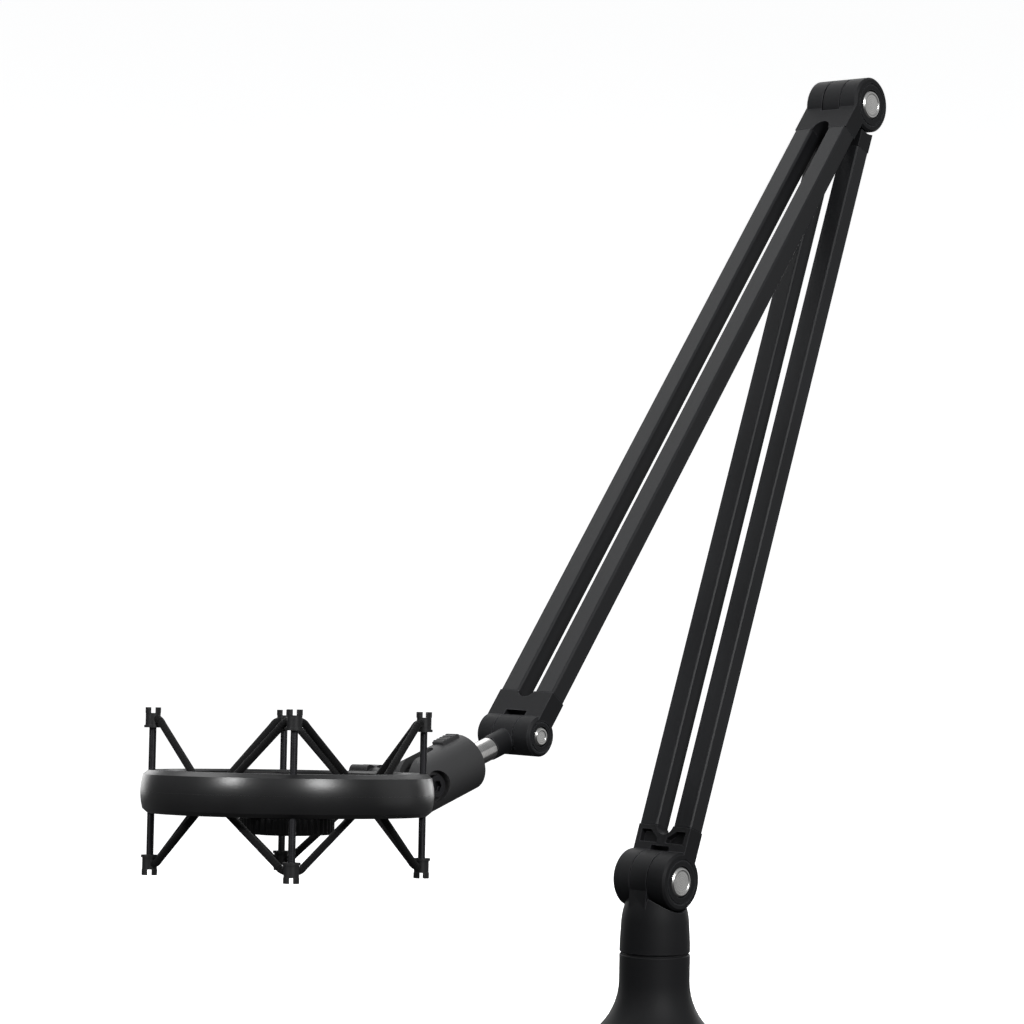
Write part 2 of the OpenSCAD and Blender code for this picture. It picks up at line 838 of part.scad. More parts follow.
module ring_posts() {
    color("#1a1b1c") at_ring() for (a = post_angles) rotate(a)
        translate([post_circle_r, 0, -post_half_h + 1])
            cylinder(r = post_r_rod - 0.01, h = 2 * post_half_h - 2);
}

// Caps on the rods, each with a crown of prongs that holds the cord
module post_caps() {
    color("#232426") at_ring() for (a = post_angles) rotate(a) for (s = [0, 1]) mirror([0, 0, s])
        translate([post_circle_r, 0, post_half_h - cap_h]) difference() {
            union() {
                cylinder(r = post_cap_r, h = cap_h);
                cylinder(r = post_cap_r + 0.5, h = 1);
                translate([0, 0, cap_h - e]) cylinder(r = post_cap_r + 0.2, h = prong_h);
            }
            translate([0, 0, -e]) cylinder(r = post_r_rod, h = cap_h - 1);
            translate([0, 0, cap_h]) for (t = [0, 90]) rotate(t)
                translate([-post_cap_r - 1, -0.8, 0]) cube([2 * post_cap_r + 2, 1.6, prong_h + 1]);
        }
}

// The eight straight runs of one elastic cord, up for s = 1 and down for s = -1
module cord_runs(s) {
    color("#141414") at_ring() for (a = post_angles) for (side = [-45, 45]) {
        p = [post_circle_r * cos(a), post_circle_r * sin(a), s * (post_half_h - cap_h / 2)];
        q = [hook_r * cos(a + side), hook_r * sin(a + side), s * 2];
        d = (q - p) / norm(q - p);
        rod(p + d * (post_cap_r + 1.6), q - d * (cord_r + 5.4), cord_r);
    }
}

module cords_upper() {
    cord_runs(1);
}

module cords_lower() {
    cord_runs(-1);
}

// Cradle: hub plate, threaded stem and four arms that end in cord hooks
module cradle() {
    arm_t = 3.2;
    color("#202123") at_ring() rotate(mount_turn) difference() {
        union() {
            translate([0, 0, hub_z]) cylinder(r1 = hub_r - 1.4, r2 = hub_r, h = hub_t);
            translate([0, 0, nut_z - 1]) cylinder(r = stem_r, h = hub_z - nut_z + 1 + e);
            for (a = [0 : 90 : 270]) rotate(a) {
                rotate([90, 0, 0]) translate([0, 0, -3.5]) linear_extrude(height = 7) polygon([
                    [hub_r - 4, hub_z], [hub_r + 4, hub_z], [hook_r - 4, -3.6], [hook_r + 1.6, -3.6],
                    [hook_r + 1.6, 3.6], [hook_r - 1.6, 3.6], [hook_r - 1.6, -0.4], [hook_r - 5, -0.4],
                    [hub_r + 3, hub_z + arm_t], [hub_r - 4, hub_z + arm_t]
                ]);
                for (t = [-1, 1]) translate([hook_r - 1.6, t * 2.6 - 0.9, -5.2]) cube([3.2, 1.8, 10.4]);
            }
        }
        translate([0, 0, nut_z - 2]) cylinder(r = insert_r, h = hub_z - nut_z + hub_t + 3);
    }
}

module cradle_insert() {
    color("#b08d4a") at_ring() translate([0, 0, nut_z - 1]) difference() {
        cylinder(r = insert_r - 0.01, h = hub_z - nut_z + hub_t);
        translate([0, 0, -1]) cylinder(r = thread_r, h = 30);
    }
}

module cradle_pad() {
    color("#111111") at_ring() translate([0, 0, hub_z + hub_t]) difference() {
        cylinder(r = hub_r - 1.5, h = 1.2);
        translate([0, 0, -1]) cylinder(r = insert_r + 0.5, h = 4);
    }
}

// Knurled ring nut on the cradle's stem
module knurled_nut() {
    step = 360 / nut_count;
    outline = [for (i = [0 : nut_count - 1]) for (k = [0 : 3])
        let (a = step * (i + [0, 0.18, 0.5, 0.68][k]), r = nut_r - (k < 2 ? nut_tooth : 0))
            [r * cos(a), r * sin(a)]];
    color("#242527") at_ring() translate([0, 0, nut_z]) difference() {
        union() {
            linear_extrude(height = nut_h) polygon(outline);
            translate([0, 0, -0.6]) cylinder(r = nut_r - 1.4, h = 0.6 + e);
        }
        translate([0, 0, -2]) cylinder(r = stem_r + 0.05, h = nut_h + 4);
    }
}

clamp_frame();
jaw_pad();
back_pad();
pedestal();
pedestal_screws();
swivel_post();
swivel_washer();
post_retainer();
pressure_plate();
pressure_pad();
clamp_screw();
clamp_handle();
swivel_head();
post_bush();
base_fork();
lower_bar_left();
lower_bar_right();
elbow_tongue();
base_pin();
base_caps();
base_washers();
lower_springs();
lower_tie_rods();
elbow_fork();
upper_bar_left();
upper_bar_right();
tip_fork();
elbow_pin();
elbow_caps();
elbow_washers();
upper_springs();
upper_tie_rods();
tip_pin();
tip_caps();
tip_washers();
tip_knuckle();
swivel_shaft();
shaft_clip();
swivel_body();
pivot_bolt();
release_button();
button_spring();
tilt_knob();
knob_insert();
mount_ring();
ring_posts();
post_caps();
cords_upper();
cords_lower();
cradle();
cradle_insert();
cradle_pad();
knurled_nut();
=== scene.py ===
"""Looks of a desk-clamped microphone arm with an elastic shock mount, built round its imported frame."""

import json
import logging
import math
from dataclasses import dataclass, field
from enum import Enum
from typing import Iterable, Sequence, Union

import bmesh
import bpy
from mathutils import Matrix, Vector


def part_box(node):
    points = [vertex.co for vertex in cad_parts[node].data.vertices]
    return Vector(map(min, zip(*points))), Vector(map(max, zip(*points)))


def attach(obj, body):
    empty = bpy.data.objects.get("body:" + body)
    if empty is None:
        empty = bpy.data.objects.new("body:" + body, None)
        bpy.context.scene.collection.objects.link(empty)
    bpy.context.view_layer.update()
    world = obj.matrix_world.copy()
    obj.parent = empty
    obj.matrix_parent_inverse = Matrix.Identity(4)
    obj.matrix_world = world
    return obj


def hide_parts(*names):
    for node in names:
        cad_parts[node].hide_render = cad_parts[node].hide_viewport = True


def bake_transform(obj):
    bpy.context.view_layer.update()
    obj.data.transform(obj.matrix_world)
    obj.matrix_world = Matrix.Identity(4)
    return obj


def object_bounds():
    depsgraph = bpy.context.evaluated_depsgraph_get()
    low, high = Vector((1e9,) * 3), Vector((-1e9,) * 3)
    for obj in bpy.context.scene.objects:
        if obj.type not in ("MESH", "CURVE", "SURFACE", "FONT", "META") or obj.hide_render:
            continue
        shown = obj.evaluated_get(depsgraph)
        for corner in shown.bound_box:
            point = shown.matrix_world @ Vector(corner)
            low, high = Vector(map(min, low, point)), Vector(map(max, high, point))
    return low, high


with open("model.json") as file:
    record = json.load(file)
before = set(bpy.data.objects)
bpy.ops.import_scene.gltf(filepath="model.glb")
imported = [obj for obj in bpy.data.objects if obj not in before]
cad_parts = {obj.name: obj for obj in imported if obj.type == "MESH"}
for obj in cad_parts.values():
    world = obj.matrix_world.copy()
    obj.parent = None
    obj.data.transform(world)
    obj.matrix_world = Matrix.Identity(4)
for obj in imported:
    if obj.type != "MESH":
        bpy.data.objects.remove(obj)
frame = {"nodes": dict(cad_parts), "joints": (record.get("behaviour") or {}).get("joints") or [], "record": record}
CAD_BOX = [list(corner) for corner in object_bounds()]
MM = 0.001
UP = Vector((0, 0, 1))
ACROSS = Vector((0, 1, 0))
log = logging.getLogger("microphone_arm")

# Sizes that the frame doesn't carry: from the cradle's thread to the ring's middle, the arms from
# hinge to hinge along their tubes, and how far forward of its tubes the tip hinge is set
THREAD_TO_RING = 11.5 * MM
LOWER_LENGTH = 380.0 * MM
UPPER_LENGTH = 369.0 * MM
TIP_SHIFT = 3.0 * MM

Color = tuple[float, float, float]
Number = Union[int, float]


# Shader building


class Value:
    """A number socket that takes part in Python arithmetic."""

    def __init__(self, graph: "Graph", socket: bpy.types.NodeSocket) -> None:
        """Keeps the socket and the graph that its results are added to."""
        self.graph = graph
        self.socket = socket

    def __add__(self, other: "Amount") -> "Value":
        """Sum."""
        return self.graph.math("ADD", self, other)

    def __radd__(self, other: Number) -> "Value":
        """Sum with a number in front."""
        return self.graph.math("ADD", other, self)

    def __sub__(self, other: "Amount") -> "Value":
        """Difference."""
        return self.graph.math("SUBTRACT", self, other)

    def __rsub__(self, other: Number) -> "Value":
        """Difference from a number in front."""
        return self.graph.math("SUBTRACT", other, self)

    def __mul__(self, other: "Amount") -> "Value":
        """Product."""
        return self.graph.math("MULTIPLY", self, other)

    def __rmul__(self, other: Number) -> "Value":
        """Product with a number in front."""
        return self.graph.math("MULTIPLY", other, self)

    def sine(self) -> "Value":
        """Sine of the value in radians."""
        return self.graph.math("SINE", self)

    def root(self) -> "Value":
        """Square root."""
        return self.graph.math("SQRT", self)

    def spread(self, low: float, high: float) -> "Value":
        """The value stretched so that low becomes 0 and high becomes 1, and held between them.

        Args:
            low: value that becomes 0.
            high: value that becomes 1.

        Returns:
            The stretched value.
        """
        made = self.graph.node(
            "ShaderNodeMapRange",
            {"clamp": True},
            {"Value": self, "From Min": low, "From Max": high},
        )
        return Value(self.graph, made.outputs["Result"])


Amount = Union[Value, int, float]
Link = Union[Value, bpy.types.NodeSocket, int, float, Sequence[float]]


class Graph:
    """Node tree of one material, or of the room round the object."""

    def __init__(self, name: str, room: bool = False) -> None:
        """Makes the material or the room and clears its tree.

        Args:
            name: the material's or the room's name.
            room: whether it is the room.
        """
        self.owner = (bpy.data.worlds if room else bpy.data.materials).new(name)
        self.owner.use_nodes = True
        self.tree = self.owner.node_tree
        self.tree.nodes.clear()

    def node(self, kind: str, settings: dict, inputs: dict) -> bpy.types.Node:
        """Adds one node.

        Args:
            kind: the node's type.
            settings: properties of the node, set before its sockets.
            inputs: socket name or number to a value, a socket or a Value.

        Returns:
            The node.
        """
        made = self.tree.nodes.new(kind)
        for key, setting in settings.items():
            setattr(made, key, setting)
        for key, given in inputs.items():
            if isinstance(given, Value):
                given = given.socket
            if isinstance(given, bpy.types.NodeSocket):
                self.tree.links.new(given, made.inputs[key])
            else:
                made.inputs[key].default_value = given
        return made

    def math(self, operation: str, *terms: Amount) -> Value:
        """Adds a Math node for an operation on one or two terms."""
        made = self.node("ShaderNodeMath", {"operation": operation}, dict(enumerate(terms)))
        return Value(self, made.outputs[0])

    def place(self) -> bpy.types.NodeSocket:
        """Place on the piece, which stays with the piece as it moves."""
        return self.node("ShaderNodeTexCoord", {}, {}).outputs["Object"]

    def along(self, direction: Vector, start: Vector = Vector((0, 0, 0))) -> Value:
        """Distance from a start point along a direction, in metres.

        Args:
            direction: unit vector in the row frame.
            start: point in the row frame where the distance is 0.

        Returns:
            The distance.
        """
        made = self.node(
            "ShaderNodeVectorMath",
            {"operation": "DOT_PRODUCT"},
            {0: self.place(), 1: tuple(direction)},
        )
        return Value(self, made.outputs["Value"]) - start.dot(direction)

    def noise(self, scale: float, detail: float = 3.0, at: Link | None = None) -> Value:
        """Soft noise from 0 to 1.

        Args:
            scale: features for each metre, or for each unit of at.
            detail: number of finer layers.
            at: coordinates, or None for the place on the piece.

        Returns:
            The noise.
        """
        made = self.node(
            "ShaderNodeTexNoise",
            {"noise_dimensions": "3D"},
            {"Vector": self.place() if at is None else at, "Scale": scale, "Detail": detail},
        )
        return Value(self, made.outputs["Fac"])

    def edges(self, radius: float) -> Value:
        """About 1 on sharp outer edges and 0 on flat faces: the mask for edge wear and for painted highlight lines
        along the edges.

        Args:
            radius: how far in from an edge it reaches, in metres.

        Returns:
            The mask.
        """
        round_normal = self.node("ShaderNodeBevel", {"samples": 4}, {"Radius": radius})
        flat_normal = self.node("ShaderNodeNewGeometry", {}, {})
        made = self.node(
            "ShaderNodeVectorMath",
            {"operation": "DOT_PRODUCT"},
            {0: round_normal.outputs["Normal"], 1: flat_normal.outputs["Normal"]},
        )
        return (1 - Value(self, made.outputs["Value"])).spread(0.02, 0.25)

    def color_mix(self, share: Value, first: Color, second: Color) -> bpy.types.NodeSocket:
        """Colour between two colours, through a Mix node.

        Args:
            share: 0 for the first and 1 for the second.
            first: linear colour.
            second: linear colour.

        Returns:
            The colour's socket.
        """
        made = self.node("ShaderNodeMix", {"data_type": "RGBA"}, {})
        factor, a, b = (
            next(s for s in made.inputs if s.identifier == key)
            for key in ("Factor_Float", "A_Color", "B_Color")
        )
        a.default_value = (*first, 1)
        b.default_value = (*second, 1)
        self.tree.links.new(share.socket, factor)
        return next(s for s in made.outputs if s.identifier == "Result_Color")

    def bump(self, height: Value, depth: float) -> bpy.types.NodeSocket:
        """Normal from a height of 0 to 1.

        Args:
            height: the height.
            depth: depth in metres that 0 to 1 stands for.

        Returns:
            The normal's socket.
        """
        made = self.node("ShaderNodeBump", {}, {"Strength": 1.0, "Distance": depth, "Height": height})
        return made.outputs["Normal"]

    def finish(self, varying: dict, uniform: dict) -> bpy.types.Material:
        """Joins everything to the surface.

        Args:
            varying: what changes over the surface, by shader socket.
            uniform: what is the same all over, by shader socket.

        Returns:
            The finished material.
        """
        shader = self.node("ShaderNodeBsdfPrincipled", {}, {**uniform, **varying})
        self.node("ShaderNodeOutputMaterial", {}, {"Surface": shader.outputs["BSDF"]})
        return self.owner


# Finishes


@dataclass(frozen=True)
class Finish:
    """What the finishes share."""

    color: Color
    roughness: float
    specular: float = 0.5

    def build(self, name: str) -> bpy.types.Material:
        """Makes the material, under a name of the piece that wears it."""
        raise NotImplementedError


@dataclass(frozen=True)
class PowderCoat(Finish):
    """Baked satin paint on a casting: fine grain, faint clouding, and edges lighter in colour, partly edge wear
    and partly painted highlight.
    """

    # Lighter colour of the edges: partly wear, partly painted highlight.
    edge_wear_and_highlight_color: Color = (0.085, 0.087, 0.094)
    grain: float = 2600.0
    grain_depth: float = 0.000012

    def build(self, name: str) -> bpy.types.Material:
        """Makes the material."""
        g = Graph(name)
        cloud = g.noise(45, 4)
        # Edge mask: partly edge wear, partly painted highlight lines where light would catch the rounded edges.
        edge = g.edges(0.0006) * (0.35 + 0.65 * g.noise(160, 3))
        base = g.color_mix(edge, self.color, self.edge_wear_and_highlight_color)
        cloudy = g.color_mix(cloud.spread(0.3, 0.75), (0.92,) * 3, (1.06,) * 3)
        haze = tuple(0.027 * c for c in self.color)
        tint = g.node("ShaderNodeVectorMath", {"operation": "MULTIPLY_ADD"}, {0: base, 1: cloudy, 2: haze})
        rough = self.roughness + 0.1 * (cloud - 0.5) - 0.08 * edge
        grain = g.noise(self.grain, 2) + 0.35 * g.noise(self.grain * 0.3, 2)
        return g.finish(
            {
                "Base Color": tint.outputs[0],
                "Roughness": rough,
                "Normal": g.bump(grain, self.grain_depth),
            },
            {"Specular IOR Level": self.specular},
        )


@dataclass(frozen=True)
class DrawnTube(Finish):
    """Black anodised tube, with faint lines along the way it was drawn, and edges lighter in colour: partly edge
    wear and partly painted highlight.
    """

    direction: tuple[float, float, float] = (0, 0, 1)
    # Lighter colour of the edges: partly wear, partly painted highlight.
    edge_wear_and_highlight_color: Color = (0.14, 0.143, 0.155)

    def build(self, name: str) -> bpy.types.Material:
        """Makes the material."""
        g = Graph(name)
        run = Vector(self.direction)
        side = run.cross(ACROSS).normalized()
        lines = g.node(
            "ShaderNodeCombineXYZ",
            {},
            {
                "X": g.along(side) * 5200,
                "Y": g.along(ACROSS) * 5200,
                "Z": g.along(run) * 22,
            },
        ).outputs["Vector"]
        drawn = g.noise(1.0, 3, lines)
        cloud = g.noise(14, 4)
        # Edge mask: partly edge wear, partly painted highlight lines along the tube's edges.
        edge = g.edges(0.0005) * (0.45 + 0.55 * g.noise(70, 3))
        shade = (0.5 * edge + 0.09 * (cloud - 0.5) + 0.07 * (drawn - 0.5)).spread(-0.06, 0.7)
        return g.finish(
            {
                "Base Color": g.color_mix(shade, self.color, self.edge_wear_and_highlight_color),
                "Roughness": self.roughness + 0.12 * (drawn - 0.5) + 0.08 * (cloud - 0.5),
                "Normal": g.bump(drawn, 0.000006),
            },
            {"Specular IOR Level": self.specular},
        )


@dataclass(frozen=True)
class Moulded(Finish):
    """Injection-moulded plastic with a spark-eroded grain, and edges lighter in colour, partly wear and partly
    painted highlight.
    """

    grain: float = 3200.0
    grain_depth: float = 0.000018
    # Lighter colour of the edges: partly wear, partly painted highlight.
    edge_wear_and_highlight_color: Color = (0.05, 0.05, 0.052)

    def build(self, name: str) -> bpy.types.Material:
        """Makes the material."""
        g = Graph(name)
        cloud = g.noise(60, 4)
        # Edge mask: partly edge wear, partly painted highlight lines along the edges.
        edge = g.edges(0.0005) * (0.3 + 0.5 * g.noise(220, 2))
        grain = g.noise(self.grain, 2)
        shade = (0.6 * edge + 0.12 * (cloud - 0.5) + 0.1 * (grain - 0.5)).spread(-0.08, 0.9)
        return g.finish(
            {
                "Base Color": g.color_mix(shade, self.color, self.edge_wear_and_highlight_color),
                "Roughness": self.roughness + 0.12 * (cloud - 0.5) - 0.06 * edge,
                "Normal": g.bump(grain, self.grain_depth),
            },
            {"Specular IOR Level": self.specular},
        )


@dataclass(frozen=True)
class Turned(Finish):
    """Metal turned on a lathe: rings round its own axis, with painted shade in their grooves, and small scuffs."""

    centre: tuple[float, float, float] = (0, 0, 0)
    axis: tuple[float, float, float] = (0, 0, 1)
    rings: float = 6500.0
    dark: Color = (0.3, 0.3, 0.31)

    def build(self, name: str) -> bpy.types.Material:
        """Makes the material."""
        g = Graph(name)
        axis = Vector(self.axis).normalized()
        first = axis.orthogonal().normalized()
        second = axis.cross(first)
        centre = Vector(self.centre)
        u, v = g.along(first, centre), g.along(second, centre)
        away = (u * u + v * v).root()
        along = g.along(axis, centre)
        rings = ((away + along) * self.rings).sine() * 0.5 + 0.5
        scuff = g.noise(420, 5)
        cloud = g.noise(150, 3)
        # Colour mix: painted shade in the ring grooves, lighter scuffs of wear, and random clouding.
        groove_shade_and_scuffs = (rings * 0.25 + scuff * 0.35 + cloud * 0.5).spread(0.25, 0.9)
        return g.finish(
            {
                "Base Color": g.color_mix(groove_shade_and_scuffs, self.dark, self.color),
                "Roughness": self.roughness + 0.12 * (scuff - 0.5) + 0.05 * rings,
                "Normal": g.bump(rings * 0.8 + scuff * 0.2, 0.000003),
            },
            {"Metallic": 1.0},
        )


@dataclass(frozen=True)
class Rubber(Finish):
    """Moulded rubber: matt, with dust in its pores."""

    def build(self, name: str) -> bpy.types.Material:
        """Makes the material."""
        g = Graph(name)
        pores = g.noise(1500, 4)
        dust = g.noise(90, 5).spread(0.52, 0.8)
        return g.finish(
            {
                "Base Color": g.color_mix(dust * 0.5, self.color, (0.07, 0.068, 0.064)),
                "Roughness": self.roughness + 0.08 * (pores - 0.5),
                "Normal": g.bump(pores, 0.00004),
            },
            {"Specular IOR Level": self.specular},
        )


@dataclass(frozen=True)
class Braid(Finish):
    """Woven cover of an elastic cord: two sets of strands that cross round it, with painted shade in the hollows
    between the strands.
    """

    strands: int = 8
    slope: float = 2.6

    def build(self, name: str) -> bpy.types.Material:
        """Makes the material, on the cord's own length and turn coordinates."""
        g = Graph(name)
        uv = g.node("ShaderNodeTexCoord", {}, {}).outputs["UV"]
        parts = g.node("ShaderNodeSeparateXYZ", {}, {"Vector": uv})
        turn = Value(g, parts.outputs["X"]) * (2 * math.pi * self.strands)
        run = Value(g, parts.outputs["Y"]) * self.slope
        one = (turn + run).sine()
        other = (turn - run).sine()
        weave = (one * other) * 0.5 + 0.5
        fuzz = g.noise(5200, 3)
        # Painted shade: the colour darkens where the weave's bump is low, in the hollows between the strands.
        shade = (0.75 * weave + 0.25 * fuzz).spread(0.1, 1.0)
        dark = tuple(0.4 * c for c in self.color)
        return g.finish(
            {
                "Base Color": g.color_mix(shade, dark, self.color),
                "Roughness": self.roughness + 0.1 * (fuzz - 0.5),
                "Normal": g.bump(weave * 0.8 + fuzz * 0.2, 0.00016),
            },
            {"Specular IOR Level": self.specular, "Sheen Weight": 0.05, "Sheen Roughness": 0.5},
        )


class Gloss(Enum):
    """How bright the turned metal pieces are."""

    CAP = (0.74, 0.735, 0.72)
    SHAFT = (0.7, 0.69, 0.68)
    PLAIN = (0.42, 0.43, 0.44)
    OXIDE = (0.05, 0.05, 0.054)
    BRASS = (0.62, 0.43, 0.17)


TUBE_BLACK = (0.0075, 0.0078, 0.009)
# Edge colour of the tubes: partly wear, partly painted highlight.
TUBE_EDGE_WEAR_AND_HIGHLIGHT = (0.14, 0.143, 0.155)
# How bright the dark tone of a turned metal piece is, against its bright one: painted shade in the grooves against
# the crests, also used where scuffs and clouding are low
DARK_SHARE = 0.55

CASTING = PowderCoat((0.0068, 0.007, 0.0082), 0.62, 0.28)
CLAMP_PAINT = PowderCoat((0.0068, 0.007, 0.0081), 0.63, 0.3)
RING_PLASTIC = Moulded((0.007, 0.007, 0.0074), 0.31, 0.5, grain_depth=0.000008)
BODY_PLASTIC = Moulded((0.03, 0.03, 0.031), 0.55, 0.5)
FRAME_PLASTIC = Moulded((0.0062, 0.0063, 0.0069), 0.5, 0.36)
BLACK_NYLON = Moulded((0.006, 0.006, 0.0065), 0.52, 0.45)
PALE_NYLON = Moulded((0.58, 0.55, 0.48), 0.5, 0.5, edge_wear_and_highlight_color=(0.7, 0.67, 0.6))
BLACK_RUBBER = Rubber((0.007, 0.007, 0.0073), 0.78, 0.4)
CORD_BRAID = Braid((0.005, 0.005, 0.0055), 0.74, 0.17)


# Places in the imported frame


def joint(name: str) -> dict:
    """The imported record's joint of that name."""
    return next(j for j in frame["joints"] if j["name"] == name)


def joint_place(name: str) -> Vector:
    """A joint's point at rest, in metres."""
    return Vector(joint(name)["pos_m"])


def joint_axis(name: str) -> Vector:
    """A joint's unit axis at rest."""
    return Vector(joint(name)["axis"]).normalized()


def axes_at(origin: Vector, x: Vector, y: Vector, z: Vector) -> Matrix:
    """Matrix that takes a piece's own coordinates to the row frame.

    Args:
        origin: where the piece's origin lies.
        x: the piece's X in the row frame.
        y: the piece's Y in the row frame.
        z: the piece's Z in the row frame.

    Returns:
        The matrix.
    """
    turned = Matrix((x, y, z)).transposed().to_4x4()
    return Matrix.Translation(origin) @ turned


def ring_axes() -> Matrix:
    """Coordinates at the ring's centre, with Z along its axis and -X towards the swivel."""
    z = joint_axis("nut_turn")
    y = joint_axis("ring_tilt")
    thread = next(m for m in frame["record"]["mounts"] if m["name"] == "microphone_thread")
    return axes_at(Vector(thread["pos_m"]) + THREAD_TO_RING * z, y.cross(z), y, z)


# Meshes


# Points this close are one point, and faces that meet this flat are one face
WELD = 0.002 * MM
FLAT = math.radians(0.4)


def new_piece(name: str, mesh: bpy.types.Mesh) -> bpy.types.Object:
    """Links a new object for a mesh."""
    made = bpy.data.objects.new(name, mesh)
    bpy.context.scene.collection.objects.link(made)
    return made


def smooth(mesh: bpy.types.Mesh, angle: float) -> None:
    """Shades a mesh smooth, with creases where faces meet more sharply than an angle in degrees."""
    mesh.polygons.foreach_set("use_smooth", [True] * len(mesh.polygons))
    mesh.set_sharp_from_angle(angle=math.radians(angle))


def mesh_of(name: str, points: Iterable[Vector], faces: Iterable[Sequence[int]],
            crease: float) -> bpy.types.Mesh:
    """Mesh of points and faces, with its normals facing out.

    Args:
        name: the mesh's name.
        points: vertices.
        faces: vertex numbers of each face.
        crease: angle in degrees above which an edge is a crease.

    Returns:
        The mesh.
    """
    mesh = bpy.data.meshes.new(name)
    mesh.from_pydata([tuple(p) for p in points], [], [tuple(f) for f in faces])
    bm = bmesh.new()
    bm.from_mesh(mesh)
    bmesh.ops.recalc_face_normals(bm, faces=bm.faces)
    bm.to_mesh(mesh)
    bm.free()
    smooth(mesh, crease)
    return mesh


def tube_along(name: str, path: Sequence[Vector], radius: float, sides: int = 16) -> bpy.types.Mesh:
    """Closed round tube along a path, with turn and length coordinates for a woven cover.

    Args:
        name: the mesh's name.
        path: centreline, in metres.
        radius: the tube's radius, in metres.
        sides: points round the tube.

    Returns:
        The mesh.
    """
    points: list[Vector] = []
    lengths = [0.0]
    for a, b in zip(path, path[1:]):
        lengths.append(lengths[-1] + (b - a).length)
    first = (path[1] - path[0]).normalized()
    across = first.orthogonal().normalized()
    for i, centre in enumerate(path):
        ahead = path[min(i + 1, len(path) - 1)] - path[max(i - 1, 0)]
        forward = ahead.normalized()
        across = (across - across.dot(forward) * forward).normalized()
        third = forward.cross(across)
        for k in range(sides):
            a = 2 * math.pi * k / sides
            points.append(centre + radius * (math.cos(a) * across + math.sin(a) * third))
    faces = [
        (i * sides + k, i * sides + (k + 1) % sides, (i + 1) * sides + (k + 1) % sides, (i + 1) * sides + k)
        for i in range(len(path) - 1)
        for k in range(sides)
    ]
    last = (len(path) - 1) * sides
    faces += [tuple(reversed(range(sides))), tuple(range(last, last + sides))]
    mesh = mesh_of(name, points, faces, 50)
    layer = mesh.uv_layers.new(name="along")
    for polygon in mesh.polygons:
        turns = [mesh.loops[n].vertex_index % sides for n in polygon.loop_indices]
        wraps = len(turns) == 4 and max(turns) - min(turns) > 1
        for n, turn in zip(polygon.loop_indices, turns):
            u = sides if wraps and turn == 0 else turn
            row = mesh.loops[n].vertex_index // sides
            layer.data[n].uv = (u / sides, lengths[row] / MM)
    return mesh


def rounded_path(corners: Sequence[Vector], steps: int = 8) -> list[Vector]:
    """Smooth path through corner points.

    Args:
        corners: points that the path goes through.
        steps: points for each stretch between two corners.

    Returns:
        The path's points.
    """
    padded = [2 * corners[0] - corners[1], *corners, 2 * corners[-1] - corners[-2]]
    path: list[Vector] = []
    for a, b, c, d in zip(padded, padded[1:], padded[2:], padded[3:]):
        knots = [0.0]
        for p, q in ((a, b), (b, c), (c, d)):
            knots.append(knots[-1] + max((q - p).length, 1e-6) ** 0.5)
        for i in range(steps):
            t = knots[1] + (knots[2] - knots[1]) * i / steps
            ab = a.lerp(b, (t - knots[0]) / (knots[1] - knots[0]))
            bc = b.lerp(c, (t - knots[1]) / (knots[2] - knots[1]))
            cd = c.lerp(d, (t - knots[2]) / (knots[3] - knots[2]))
            abc = ab.lerp(bc, (t - knots[0]) / (knots[2] - knots[0]))
            bcd = bc.lerp(cd, (t - knots[1]) / (knots[3] - knots[1]))
            path.append(abc.lerp(bcd, (t - knots[1]) / (knots[2] - knots[1])))
    return [*path, corners[-1].copy()]


def lathed(name: str, profile: Sequence[tuple[float, float]], around: int, crease: float) -> bpy.types.Mesh:
    """Closed solid of a profile turned round Z.

    Args:
        name: the mesh's name.
        profile: closed loop of (radius, height), in metres.
        around: steps round the axis.
        crease: angle in degrees above which an edge is a crease.

    Returns:
        The mesh.
    """
    count = len(profile)
    points = [
        Vector((r * math.cos(a), r * math.sin(a), z))
        for a in (2 * math.pi * k / around for k in range(around))
        for r, z in profile
    ]
    faces = [
        (k * count + i, k * count + (i + 1) % count,
         (k + 1) % around * count + (i + 1) % count, (k + 1) % around * count + i)
        for k in range(around)
        for i in range(count)
    ]
    return mesh_of(name, points, faces, crease)


def threaded_rod(name: str, core: float, crest: float, pitch: float,
                 low: float, high: float) -> bpy.types.Mesh:
    """Rod round Z with a helical thread that fades out at both ends.

    Args:
        name: the mesh's name.
        core: radius at the root of the thread.
        crest: radius at the crest.
        pitch: rise for each turn.
        low: lower end.
        high: upper end.

    Returns:
        The mesh.
    """
    around, rows_per_turn = 48, 8
    tooth_top, tooth_slope = 1.6, 4.4
    rows = int((high - low) / pitch * rows_per_turn)
    points: list[Vector] = []
    for i in range(rows + 1):
        z = low + (high - low) * i / rows
        fade = min(1.0, (z - low) / pitch, (high - z) / pitch)
        for k in range(around):
            a = 2 * math.pi * k / around
            phase = (z / pitch - k / around) % 1.0
            tooth = max(0.0, min(1.0, tooth_top - abs(phase - 0.5) * tooth_slope))
            r = core + (crest - core) * tooth * fade
            points.append(Vector((r * math.cos(a), r * math.sin(a), z)))
    faces: list[Sequence[int]] = [
        (i * around + k, i * around + (k + 1) % around,
         (i + 1) * around + (k + 1) % around, (i + 1) * around + k)
        for i in range(rows)
        for k in range(around)
    ]
    faces += [tuple(range(around)), tuple(range(rows * around, (rows + 1) * around))]
    return mesh_of(name, points, faces, 60)


